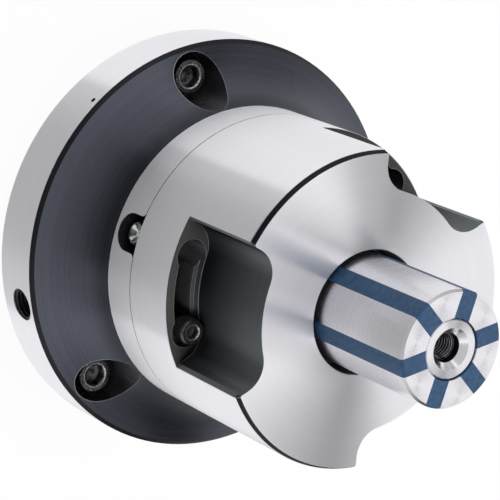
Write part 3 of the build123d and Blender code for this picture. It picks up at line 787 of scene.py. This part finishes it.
zinc_finish = cloudy("bright zinc", (0.86, 0.92, 0.88), 0.22, 0.08, 500.0, 0.003 * MM)
bronze_finish = cloudy("bearing bronze", (0.62, 0.42, 0.20), 0.28, 0.12, 300.0, 0.01 * MM)
seal_finish = cloudy("black seal rubber", (0.02, 0.02, 0.02), 0.5, 0.15, 900.0, 0.01 * MM, metallic=0.0)
print("made", [finish.name for finish in (zinc_finish, bronze_finish, seal_finish)])

# %% [markdown]
# Every solid from the frame gets its finish by name.

# %% Dress the solids
FINISH_OF = {
    "adapter_flange": flange_finish,
    "mandrel_body": body_finish,
    "grease_nipple": zinc_finish,
    "guide_bush": bronze_finish,
    "wiper_ring": seal_finish,
    "body_seal": seal_finish,
    "bolt_seal": seal_finish,
    "taper_core": bush_steel,
    "core_pin": bush_steel,
    "guide_pin": bush_steel,
    "draw_bolt": nose_steel,
    "draw_coupling": bright_steel,
}


def finish_for(name):
    if name in FINISH_OF:
        return FINISH_OF[name]
    if name.startswith("segment"):
        return bush_steel
    if name.startswith("rubber"):
        return rubber_finish
    return screw_finish


for name, node in nodes.items():
    node.data.materials.clear()
    node.data.materials.append(finish_for(name))
print("dressed", len(nodes), "solids")

# %% [markdown]
# Two screws carry what the solids leave out: a knurl round the head, a chamfered hexagon socket with a
# drilled bottom, and a thread. Each is drawn out of a disc, ring by ring, and cut with plain tools.

# %% Modelling helpers
SMOOTH_BELOW = radians(35)
RIDGE_HALF_WIDTH = 0.46
RIDGE_CREST_SHARE = 0.18
DISC_SHARE = 0.8
SNAP = 0.02


def alone(piece):
    """Makes one piece the only selected and active one."""
    bpy.ops.object.select_all(action="DESELECT")
    piece.select_set(True)
    bpy.context.view_layer.objects.active = piece


def turned_piece(name, profile, sides):
    """A disc drawn out along its axis through a profile of radius and height in millimetres."""
    bpy.ops.object.select_all(action="DESELECT")
    radius, height = profile[0]
    bpy.ops.mesh.primitive_circle_add(
        vertices=sides, radius=radius * MM, fill_type="NGON", location=(0, 0, height * MM)
    )
    piece = bpy.context.object
    piece.name = name
    bpy.ops.object.transform_apply(location=True, rotation=True, scale=True)
    bpy.ops.object.mode_set(mode="EDIT")
    bpy.ops.mesh.select_all(action="SELECT")
    for next_radius, next_height in profile[1:]:
        step = (0, 0, (next_height - height) * MM)
        bpy.ops.mesh.extrude_region_move(TRANSFORM_OT_translate={"value": step})
        bpy.ops.transform.resize(value=(next_radius / radius, next_radius / radius, 1))
        radius, height = next_radius, next_height
    bpy.ops.mesh.select_all(action="SELECT")
    bpy.ops.mesh.normals_make_consistent(inside=False)
    bpy.ops.object.mode_set(mode="OBJECT")
    return piece


def knurl(piece, sides, radius, low, high, depth):
    """Sets back every other line of a round side between two heights, in millimetres."""
    bpy.ops.object.mode_set(mode="EDIT")
    bpy.ops.mesh.select_mode(type="VERT")
    bpy.ops.mesh.select_all(action="DESELECT")
    bpy.ops.object.mode_set(mode="OBJECT")
    for corner in piece.data.vertices:
        x, y, z = corner.co / MM
        line = round(atan2(y, x) / (2 * pi) * sides) % 2
        on_side = abs(hypot(x, y) - radius) < SNAP and low - SNAP < z < high + SNAP
        corner.select = bool(line) and on_side
    bpy.ops.object.mode_set(mode="EDIT")
    share = (radius - depth) / radius
    bpy.ops.transform.resize(value=(share, share, 1))
    bpy.ops.object.mode_set(mode="OBJECT")


def cut_with(piece, tool):
    """Takes the tool's volume out of the piece and removes the tool."""
    alone(piece)
    modifier = piece.modifiers.new("cut", "BOOLEAN")
    modifier.operation = "DIFFERENCE"
    modifier.solver = "EXACT"
    modifier.object = tool
    bpy.ops.object.modifier_apply(modifier="cut")
    bpy.data.objects.remove(tool)


def cut_socket(piece, key, depth, top):
    """A hexagon socket with a lead-in cone at its mouth and a drill's cone at its bottom."""
    corner = key / 2 / cos(radians(30))
    middle = top - depth / 2 + 0.5
    bpy.ops.mesh.primitive_cylinder_add(
        vertices=6, radius=corner * MM, depth=(depth + 1) * MM, location=(0, 0, middle * MM)
    )
    cut_with(piece, bpy.context.object)
    mouth = 2 * (corner + 0.35) * MM
    bpy.ops.mesh.primitive_cone_add(
        vertices=48, radius1=0, radius2=mouth, depth=mouth, location=(0, 0, top * MM)
    )
    cut_with(piece, bpy.context.object)
    drill = (key / 2 - 0.1) * MM
    bottom = top - depth - key / 8 + 0.05
    bpy.ops.mesh.primitive_cone_add(
        vertices=32, radius1=0, radius2=drill, depth=key / 4 * MM, location=(0, 0, bottom * MM)
    )
    cut_with(piece, bpy.context.object)


def thread_ridge(name, root, crest, pitch, low, high, steps=48):
    """A right-handed helical ridge from root radius to crest radius, cut square at both heights.

    The cuts also fill the open middle of the ridge with discs, and the discs are taken out again.
    """
    bpy.ops.object.select_all(action="DESELECT")
    bpy.ops.mesh.primitive_plane_add(size=2, location=(0, 0, 0), rotation=(radians(90), 0, 0))
    piece = bpy.context.object
    piece.name = name
    bpy.ops.object.transform_apply(location=True, rotation=True, scale=True)
    bpy.ops.object.mode_set(mode="EDIT")
    bpy.ops.mesh.select_all(action="SELECT")
    bpy.ops.mesh.delete(type="ONLY_FACE")
    bpy.ops.mesh.select_all(action="SELECT")
    bpy.ops.transform.resize(value=(abs(root - crest) / 2 * MM, 1, RIDGE_HALF_WIDTH * pitch * MM))
    bpy.ops.transform.translate(value=((root + crest) / 2 * MM, 0, (low - pitch) * MM))
    bpy.ops.mesh.select_mode(type="VERT")
    bpy.ops.mesh.select_all(action="DESELECT")
    bpy.ops.object.mode_set(mode="OBJECT")
    for corner in piece.data.vertices:
        corner.select = abs(corner.co.x / MM - crest) < 0.001
    bpy.ops.object.mode_set(mode="EDIT")
    bpy.ops.transform.resize(value=(1, 1, RIDGE_CREST_SHARE))
    bpy.ops.object.mode_set(mode="OBJECT")
    modifier = piece.modifiers.new("turns", "SCREW")
    modifier.axis = "Z"
    modifier.screw_offset = pitch * MM
    modifier.iterations = int((high - low) / pitch) + 3
    modifier.steps = steps
    modifier.render_steps = steps
    bpy.ops.object.modifier_apply(modifier="turns")
    bpy.ops.object.mode_set(mode="EDIT")
    for height, facing in ((low, -1), (high, 1)):
        bpy.ops.mesh.select_all(action="SELECT")
        bpy.ops.mesh.bisect(
            plane_co=(0, 0, height * MM), plane_no=(0, 0, facing), use_fill=True, clear_outer=True
        )
    bpy.ops.mesh.select_mode(type="FACE")
    bpy.ops.mesh.select_all(action="DESELECT")
    bpy.ops.object.mode_set(mode="OBJECT")
    disc = DISC_SHARE * pi * (min(root, crest) * MM) ** 2
    for face in piece.data.polygons:
        face.select = face.area > disc
    bpy.ops.object.mode_set(mode="EDIT")
    bpy.ops.mesh.delete(type="FACE")
    bpy.ops.mesh.select_all(action="SELECT")
    bpy.ops.mesh.normals_make_consistent(inside=False)
    bpy.ops.object.mode_set(mode="OBJECT")
    return piece


def put_in_place(piece, location, rotation=(0.0, 0.0, 0.0)):
    """Moves and turns a piece, then takes its place into its mesh and rounds its shading."""
    alone(piece)
    piece.location = location
    piece.rotation_euler = rotation
    bpy.ops.object.transform_apply(location=True, rotation=True, scale=True)
    bpy.ops.object.shade_smooth_by_angle(angle=SMOOTH_BELOW)
    return piece


def hand_over(piece, finish, body):
    """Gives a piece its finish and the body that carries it."""
    piece.data.materials.clear()
    piece.data.materials.append(finish)
    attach(piece, body)


# %% [markdown]
# All lengths of a screw are in millimetres. The three flange screws and the three body screws are
# copies of one pattern each, and each copy stands for the plain solid in its place.

# %% Socket screws
KNURL_DEPTH = 0.28
FLANGE_HEAD = 12.0
BODY_HEAD = 8.0
FLANGE_SCREW_SPIN = radians(8)
BODY_SCREW_SPIN = radians(20)


def socket_screw(name, size, pitch, thread, length, head_d, head_h, key, key_depth, sides):
    """A socket head screw that stands on its seat at height nought, with its shank below."""
    shank, head, root = size / 2, head_d / 2, size / 2 - 0.61 * pitch
    start = thread - length
    profile = [
        (root - 0.4, -length), (root, 0.4 - length), (root, start), (shank, start + 0.6), (shank, 0.0),
        (head - 0.35, 0.001), (head, 0.35), (head, 0.6), (head, head_h - 1.3),
        (head - 0.12, head_h - 1.0), (head - 0.35, head_h - 0.4), (head - 0.9, head_h),
    ]
    piece = turned_piece(name, profile, sides)
    knurl(piece, sides, head, 0.6, head_h - 1.3, KNURL_DEPTH)
    cut_socket(piece, key, key_depth, head_h)
    ridge = thread_ridge(name + "_thread", root - 0.1, shank, pitch, 0.6 - length, start)
    bpy.ops.object.select_all(action="DESELECT")
    ridge.select_set(True)
    piece.select_set(True)
    bpy.context.view_layer.objects.active = piece
    bpy.ops.object.join()
    return piece


def copies_for(pattern, names, top, turn, finish):
    """Puts one copy of a screw where each of the solids stands, and lets it stand for the solid."""
    for name in names:
        low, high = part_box(name)
        alone(pattern)
        bpy.ops.object.duplicate()
        copy = bpy.context.object
        copy.name = name + "_dressed"
        put_in_place(copy, ((low.x + high.x) / 2, (low.y + high.y) / 2, top), (0, 0, turn))
        hand_over(copy, finish, "adapter")
        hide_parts(name)
    bpy.data.objects.remove(pattern)


flange_screw = socket_screw(
    "flange_screw", size=12.0, pitch=1.75, thread=24.0, length=35.0,
    head_d=18.0, head_h=FLANGE_HEAD, key=10.0, key_depth=6.0, sides=96,
)
copies_for(
    flange_screw, [f"flange_screw_{i}" for i in (1, 2, 3)],
    FLANGE_SCREW_TOP - FLANGE_HEAD * MM, FLANGE_SCREW_SPIN, flange_screw_finish,
)
body_screw = socket_screw(
    "body_screw", size=8.0, pitch=1.25, thread=28.0, length=45.0,
    head_d=12.7, head_h=BODY_HEAD, key=6.0, key_depth=4.2, sides=72,
)
copies_for(
    body_screw, [f"body_screw_{i}" for i in (1, 2, 3)],
    BODY_SCREW_TOP - BODY_HEAD * MM, BODY_SCREW_SPIN, body_screw_finish,
)

# %% [markdown]
# The three threaded holes are plain bores in the solids. Each gets the ridge of its thread: M12 in the
# nose, M36 by 1.5 for the draw tube, and M16 for lifting.

# %% Threads in the holes
nose_ridge = thread_ridge("nose_thread", root=6.05, crest=5.05, pitch=1.75, low=196.6, high=216.45)
put_in_place(nose_ridge, (0, 0, 0))
hand_over(nose_ridge, nose_steel, "puller")

tube_ridge = thread_ridge(
    "draw_tube_thread", root=18.05, crest=17.2, pitch=1.5, low=8.85, high=39.9, steps=96
)
put_in_place(tube_ridge, (0, 0, 0))
hand_over(tube_ridge, bright_steel, "coupling")

lifting_ridge = thread_ridge("lifting_thread", root=8.05, crest=6.92, pitch=2.0, low=63.3, high=103.9)
put_in_place(lifting_ridge, (0, 0, LIFTING_HEIGHT), (0, radians(90), LIFTING_TURN))
hand_over(lifting_ridge, screw_finish, "adapter")
print("threads:", [(o.name, len(o.data.polygons)) for o in (nose_ridge, tube_ridge, lifting_ridge)])

# %% [markdown]
# The studio is a pale floor under a pale dome, with three soft lamps that only the matte parts feel.
# Metal shows what it mirrors, and what it mirrors is drawn in the dome by direction alone. A turned
# surface smears each mirrored point into an arc across its rings. All the arcs of the flat front pass
# through one direction, so a wedge whose tip lies there parts the front into grey and bright, with a
# soft border. Each arc of a round side keeps a fixed lean to the side, so an edge drawn along such an
# arc gives a crisp border.

# %% Studio values
FLOOR_Z = cad_box[0][2]
FLOOR_SIZE = 12.0
FLOOR_WHITE = 0.93
UP = (0, 0, 1)
DOME_LIGHT = 0.80
FRONT_MIRROR = Vector((-0.0044, -0.6415, 0.7670))
SECTOR_DIM = 0.58
SECTOR_SLOPES = (-0.89, -0.14)
RAY_DIM = 0.41
RAY_SLOPES = (0.26, 0.36)
WEDGE_EDGE = (0.69, 0.70)
WEDGE_REACH = (0.11, 0.41)
SIDE_EDGES = ((62.0, 0.295), (129.0, -0.402))
SIDE_EDGE_BLUR = 0.02
SIDE_DIM = (0.35, 0.25)
SIDE_RUN = (0.2, 1.1)
SIDE_TOP = (0.1, 0.4)

# %% [markdown]
# The floor is white to the camera and matte to the light, so it shows the mandrel's shadow and little
# else. Metal doesn't mirror it, and mirrors the lower half of the dome in its place.

# %% Floor


def floor_finish():
    material = bpy.data.materials.new("pale floor")
    material.use_nodes = True
    tree = material.node_tree
    tree.nodes.clear()
    seen = add_node(tree, "ShaderNodeLightPath").outputs["Is Camera Ray"]
    white = add_node(tree, "ShaderNodeEmission", {"Color": grey(1.0), "Strength": 1.0}).outputs[0]
    matte = add_node(tree, "ShaderNodeBsdfDiffuse", {"Color": grey(0.8)}).outputs[0]
    share = times(tree, seen, FLOOR_WHITE)
    mixed = add_node(tree, "ShaderNodeMixShader", {0: share, 1: matte, 2: white}).outputs[0]
    output = tree.nodes.new("ShaderNodeOutputMaterial")
    tree.links.new(mixed, output.inputs["Surface"])
    return material


def add_floor():
    bpy.ops.object.select_all(action="DESELECT")
    bpy.ops.mesh.primitive_plane_add(size=FLOOR_SIZE, location=(0, 0, FLOOR_Z))
    floor = bpy.context.object
    floor.name = "floor"
    bpy.ops.object.transform_apply(location=True, rotation=True, scale=True)
    floor.data.materials.append(floor_finish())
    floor.visible_glossy = False
    return floor


floor = add_floor()
print("floor at z", round(FLOOR_Z, 4))

# %% [markdown]
# The dome is one where it is bright, and each dim place takes a share of that away. Besides the sector
# of the front and the zone of the sides, four plain patches stand for the dark things of a real studio:
# the wall on the camera's side, a black screen at its horizon, the ground below it, and a stand beside
# the nose. Where dim places overlap, the dimmest counts.

# %% Dome
CAMERA_SIDE = (0, 1, 0)
CAMERA_SIDE_REACH = (0.28, 0.50)
CAMERA_SIDE_FOOT = (-0.05, 0.2)
CAMERA_SIDE_DIM = 0.46
SCREEN_SIDE = (-0.035, 0.999, 0.0)
SCREEN_REACH = (0.68, 0.88)
SCREEN_FOOT = (-0.35, -0.1)
SCREEN_TOP = (0.38, 0.5)
SCREEN_DIM = 1.0
GROUND_SIDE = (-0.259, 0.966, 0.0)
GROUND_REACH = (0.36, 0.48)
GROUND_TOP = (-0.68, -0.60)
GROUND_DIM = 0.60
STAND_SIDE = (-0.77, -0.64, 0.0)
STAND_REACH = (0.90, 0.96)
STAND_DIM = 0.85


def patch(tree, direction, toward, reach, dim):
    """A dim patch: nought outside, and its full dimness where a direction leans towards it."""
    return ramp(tree, dot(tree, direction, toward), *reach, 0.0, dim)


def above(tree, direction, heights):
    """Comes on as a direction rises from the first height to the second."""
    return ramp(tree, dot(tree, direction, UP), *heights)


def below(tree, direction, heights):
    """Goes out as a direction rises from the first height to the second."""
    return ramp(tree, dot(tree, direction, UP), *heights, 1.0, 0.0)


def side_zone(tree, direction):
    """How dim it is between the arcs of the two edges, below the horizon and just above it."""
    (first, first_offset), (second, second_offset) = SIDE_EDGES
    past_first = dot(tree, direction, (-sin(radians(first)), cos(radians(first)), 0.0))
    past_second = dot(tree, direction, (-sin(radians(second)), cos(radians(second)), 0.0))
    into_first = calc(tree, "ADD", past_first, first_offset)
    into_second = calc(tree, "ADD", past_second, second_offset)
    return all_of(
        tree,
        ramp(tree, into_first, -SIDE_EDGE_BLUR, SIDE_EDGE_BLUR),
        ramp(tree, into_second, SIDE_EDGE_BLUR, -SIDE_EDGE_BLUR),
        below(tree, direction, SIDE_TOP),
        ramp(tree, into_first, *SIDE_RUN, *SIDE_DIM),
    )


def front_wedge(tree, direction):
    """Grey in a double wedge about the front's mirror direction, and dark along its sharp edge."""
    up = FRONT_MIRROR.cross(Vector((1, 0, 0))).normalized()
    across = up.cross(FRONT_MIRROR).normalized()
    slope = calc(tree, "DIVIDE", dot(tree, direction, tuple(up)), dot(tree, direction, tuple(across)))
    sector = ramp(tree, slope, *SECTOR_SLOPES, 0.0, SECTOR_DIM)
    ray = ramp(tree, slope, *RAY_SLOPES, 0.0, RAY_DIM)
    return all_of(
        tree,
        calc(tree, "ADD", sector, ray),
        ramp(tree, slope, *WEDGE_EDGE, 1.0, 0.0),
        ramp(tree, dot(tree, direction, tuple(FRONT_MIRROR)), *WEDGE_REACH),
    )


def dim_places(tree, direction):
    """The dimmest of all the dim places in a direction."""
    camera_side = patch(tree, direction, CAMERA_SIDE, CAMERA_SIDE_REACH, CAMERA_SIDE_DIM)
    screen = patch(tree, direction, SCREEN_SIDE, SCREEN_REACH, SCREEN_DIM)
    screen = times(tree, screen, above(tree, direction, SCREEN_FOOT))
    ground = patch(tree, direction, GROUND_SIDE, GROUND_REACH, GROUND_DIM)
    return any_of(
        tree,
        side_zone(tree, direction),
        front_wedge(tree, direction),
        times(tree, camera_side, above(tree, direction, CAMERA_SIDE_FOOT)),
        times(tree, screen, below(tree, direction, SCREEN_TOP)),
        times(tree, ground, below(tree, direction, GROUND_TOP)),
        patch(tree, direction, STAND_SIDE, STAND_REACH, STAND_DIM),
    )


def add_dome():
    """A world that is white to the camera, even to matte surfaces, and drawn by direction to metal."""
    world = bpy.data.worlds.new("studio")
    world.use_nodes = True
    tree = world.node_tree
    tree.nodes.clear()
    direction = add_node(tree, "ShaderNodeTexCoord").outputs["Generated"]
    path = add_node(tree, "ShaderNodeLightPath").outputs
    mirrored = calc(tree, "SUBTRACT", 1.0, dim_places(tree, direction))
    matte = blend_value(tree, path["Is Diffuse Ray"], mirrored, DOME_LIGHT)
    strength = blend_value(tree, path["Is Camera Ray"], matte, 1.0)
    light = add_node(tree, "ShaderNodeBackground", {"Color": grey(1.0), "Strength": strength})
    output = tree.nodes.new("ShaderNodeOutputWorld")
    tree.links.new(light.outputs[0], output.inputs["Surface"])
    bpy.context.scene.world = world
    return world


print("world:", add_dome().name)

# %% [markdown]
# Three soft lamps shape what isn't metal: the webs and the floor. Metal doesn't mirror them.

# %% Lamps
MIDDLE = Vector((0.0, 0.0, 0.12))


def add_lamp(name, direction, distance, width, height, power):
    """A soft rectangular lamp that looks at the middle of the mandrel and isn't mirrored in metal."""
    data = bpy.data.lights.new(name, "AREA")
    data.shape = "RECTANGLE"
    data.size = width
    data.size_y = height
    data.energy = power
    lamp = bpy.data.objects.new(name, data)
    bpy.context.scene.collection.objects.link(lamp)
    away = Vector(direction).normalized()
    facing = away.to_track_quat("Z", "Y").to_matrix().to_4x4()
    lamp.matrix_world = Matrix.Translation(MIDDLE + away * distance) @ facing
    lamp.visible_glossy = False
    return lamp


add_lamp("key lamp", (0.2, -0.9, 1.0), distance=1.4, width=1.2, height=0.8, power=8.0)
add_lamp("left lamp", (-1.0, 0.4, 0.9), distance=1.6, width=1.0, height=1.0, power=5.0)
add_lamp("top lamp", (1.0, 0.5, 0.8), distance=1.6, width=1.0, height=0.8, power=5.0)

# %% [markdown]
# The colours are shown as they are.

# %% Plain colours
scene = bpy.context.scene
scene.view_settings.view_transform = "Standard"
